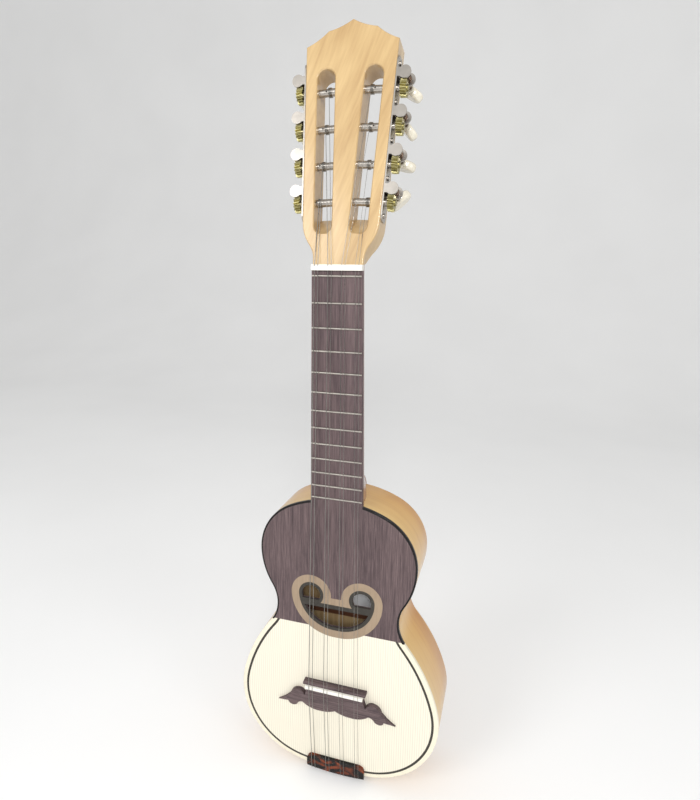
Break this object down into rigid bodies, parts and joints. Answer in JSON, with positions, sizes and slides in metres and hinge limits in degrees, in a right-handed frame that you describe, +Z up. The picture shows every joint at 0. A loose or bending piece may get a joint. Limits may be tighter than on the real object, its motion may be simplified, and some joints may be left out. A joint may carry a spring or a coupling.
{
  "type": "small four-course guitar",
  "caption": "Small figure-eight string instrument with paired strings, a two-eyed sound hole, a flush fingerboard and a slotted head with geared tuners.",
  "frame": {"origin": "on the centre line at the zero fret, in the plane of the fingerboard's and soundboard's faces; the instrument hangs from a yoke under its head's shoulders there", "axes": "+Z up the neck to the head, +Y from the face to the back, +X to the right as the face is seen"},
  "size_m": [0.174, 0.0707, 0.5986],
  "materials": {
    "spruce": "satin",
    "wenge": "satin",
    "ring_wood": "satin",
    "edging_dark": "satin",
    "side_wood": "gloss",
    "back_wood": "gloss",
    "inner_wood": "matte",
    "brace_dark": "matte",
    "head_wood": "gloss",
    "neck_wood": "gloss",
    "fingerboard_wood": "satin",
    "binding_black": "gloss",
    "binding_cream": "gloss",
    "white": "satin",
    "bridge_wood": "satin",
    "tortoise": "gloss",
    "nickel": "polished",
    "steel": "polished",
    "gear_brass": "satin",
    "worm_bronze": "satin",
    "pearl": "gloss",
    "pin_brass": "polished",
    "paper": "matte"
  },
  "bodies": {
    "instrument": {"lower_soundboard": "spruce", "upper_soundboard": "wenge", "sound_hole_ring": "ring_wood", "sound_hole_edging": "edging_dark", "purfling": "edging_dark", "upper_binding": "binding_black", "lower_binding": "binding_cream", "side_left": "side_wood", "side_right": "side_wood", "back_plate": "back_wood", "linings": "inner_wood", "neck_block": "inner_wood", "tail_block": "inner_wood", "braces": "brace_dark", "label": "paper", "neck": "neck_wood", "headstock": "head_wood", "fingerboard": "fingerboard_wood", "frets": "nickel", "nut": "white", "saddle": "white", "bridge": "bridge_wood", "bridge_front_bar": "bridge_wood", "tail_guard": "tortoise", "tail_pins": "pin_brass", "strings": "steel", "tuner_plates": "nickel", "plate_screws": "nickel"},
    "key_right_1": {"button_right_1": "pearl", "worm_right_1": "worm_bronze"},
    "post_right_1": {"gear_right_1": "gear_brass", "roller_right_1": "nickel"},
    "key_right_2": {"button_right_2": "pearl", "worm_right_2": "worm_bronze"},
    "post_right_2": {"gear_right_2": "gear_brass", "roller_right_2": "nickel"},
    "key_right_3": {"button_right_3": "pearl", "worm_right_3": "worm_bronze"},
    "post_right_3": {"gear_right_3": "gear_brass", "roller_right_3": "nickel"},
    "key_right_4": {"button_right_4": "pearl", "worm_right_4": "worm_bronze"},
    "post_right_4": {"gear_right_4": "gear_brass", "roller_right_4": "nickel"},
    "key_left_1": {"button_left_1": "pearl", "worm_left_1": "worm_bronze"},
    "post_left_1": {"gear_left_1": "gear_brass", "roller_left_1": "nickel"},
    "key_left_2": {"button_left_2": "pearl", "worm_left_2": "worm_bronze"},
    "post_left_2": {"gear_left_2": "gear_brass", "roller_left_2": "nickel"},
    "key_left_3": {"button_left_3": "pearl", "worm_left_3": "worm_bronze"},
    "post_left_3": {"gear_left_3": "gear_brass", "roller_left_3": "nickel"},
    "key_left_4": {"button_left_4": "pearl", "worm_left_4": "worm_bronze"},
    "post_left_4": {"gear_left_4": "gear_brass", "roller_left_4": "nickel"}
  },
  "joints": [
    {"name": "turn_right_1", "type": "hinge", "parent": "instrument", "child": "key_right_1", "pos_m": [0.0344, 0.01785, 0.0572], "axis": [0, -0.9789, 0.2045], "continuous": true},
    {"name": "wind_right_1", "type": "hinge", "parent": "instrument", "child": "post_right_1", "pos_m": [0.02866, 0.01623, 0.04941], "axis": [0.9991, -0.0086, -0.041], "continuous": true},
    {"name": "turn_right_2", "type": "hinge", "parent": "instrument", "child": "key_right_2", "pos_m": [0.03547, 0.02309, 0.08224], "axis": [0, -0.9789, 0.2045], "continuous": true},
    {"name": "wind_right_2", "type": "hinge", "parent": "instrument", "child": "post_right_2", "pos_m": [0.02973, 0.02146, 0.07444], "axis": [0.9991, -0.0086, -0.041], "continuous": true},
    {"name": "turn_right_3", "type": "hinge", "parent": "instrument", "child": "key_right_3", "pos_m": [0.03655, 0.02832, 0.10728], "axis": [0, -0.9789, 0.2045], "continuous": true},
    {"name": "wind_right_3", "type": "hinge", "parent": "instrument", "child": "post_right_3", "pos_m": [0.03081, 0.02669, 0.09948], "axis": [0.9991, -0.0086, -0.041], "continuous": true},
    {"name": "turn_right_4", "type": "hinge", "parent": "instrument", "child": "key_right_4", "pos_m": [0.03762, 0.03355, 0.13232], "axis": [0, -0.9789, 0.2045], "continuous": true},
    {"name": "wind_right_4", "type": "hinge", "parent": "instrument", "child": "post_right_4", "pos_m": [0.03188, 0.03192, 0.12452], "axis": [0.9991, -0.0086, -0.041], "continuous": true},
    {"name": "turn_left_1", "type": "hinge", "parent": "instrument", "child": "key_left_1", "pos_m": [-0.0344, 0.01785, 0.0572], "axis": [0, -0.9789, 0.2045], "continuous": true},
    {"name": "wind_left_1", "type": "hinge", "parent": "instrument", "child": "post_left_1", "pos_m": [-0.02866, 0.01623, 0.04941], "axis": [-0.9991, -0.0086, -0.041], "continuous": true},
    {"name": "turn_left_2", "type": "hinge", "parent": "instrument", "child": "key_left_2", "pos_m": [-0.03547, 0.02309, 0.08224], "axis": [0, -0.9789, 0.2045], "continuous": true},
    {"name": "wind_left_2", "type": "hinge", "parent": "instrument", "child": "post_left_2", "pos_m": [-0.02973, 0.02146, 0.07444], "axis": [-0.9991, -0.0086, -0.041], "continuous": true},
    {"name": "turn_left_3", "type": "hinge", "parent": "instrument", "child": "key_left_3", "pos_m": [-0.03655, 0.02832, 0.10728], "axis": [0, -0.9789, 0.2045], "continuous": true},
    {"name": "wind_left_3", "type": "hinge", "parent": "instrument", "child": "post_left_3", "pos_m": [-0.03081, 0.02669, 0.09948], "axis": [-0.9991, -0.0086, -0.041], "continuous": true},
    {"name": "turn_left_4", "type": "hinge", "parent": "instrument", "child": "key_left_4", "pos_m": [-0.03762, 0.03355, 0.13232], "axis": [0, -0.9789, 0.2045], "continuous": true},
    {"name": "wind_left_4", "type": "hinge", "parent": "instrument", "child": "post_left_4", "pos_m": [-0.03188, 0.03192, 0.12452], "axis": [-0.9991, -0.0086, -0.041], "continuous": true}
  ],
  "couplings": [
    {"joint": "wind_right_1", "follows": "turn_right_1", "ratio": -0.071429},
    {"joint": "wind_right_2", "follows": "turn_right_2", "ratio": -0.071429},
    {"joint": "wind_right_3", "follows": "turn_right_3", "ratio": -0.071429},
    {"joint": "wind_right_4", "follows": "turn_right_4", "ratio": -0.071429},
    {"joint": "wind_left_1", "follows": "turn_left_1", "ratio": -0.071429},
    {"joint": "wind_left_2", "follows": "turn_left_2", "ratio": -0.071429},
    {"joint": "wind_left_3", "follows": "turn_left_3", "ratio": -0.071429},
    {"joint": "wind_left_4", "follows": "turn_left_4", "ratio": -0.071429}
  ]
}
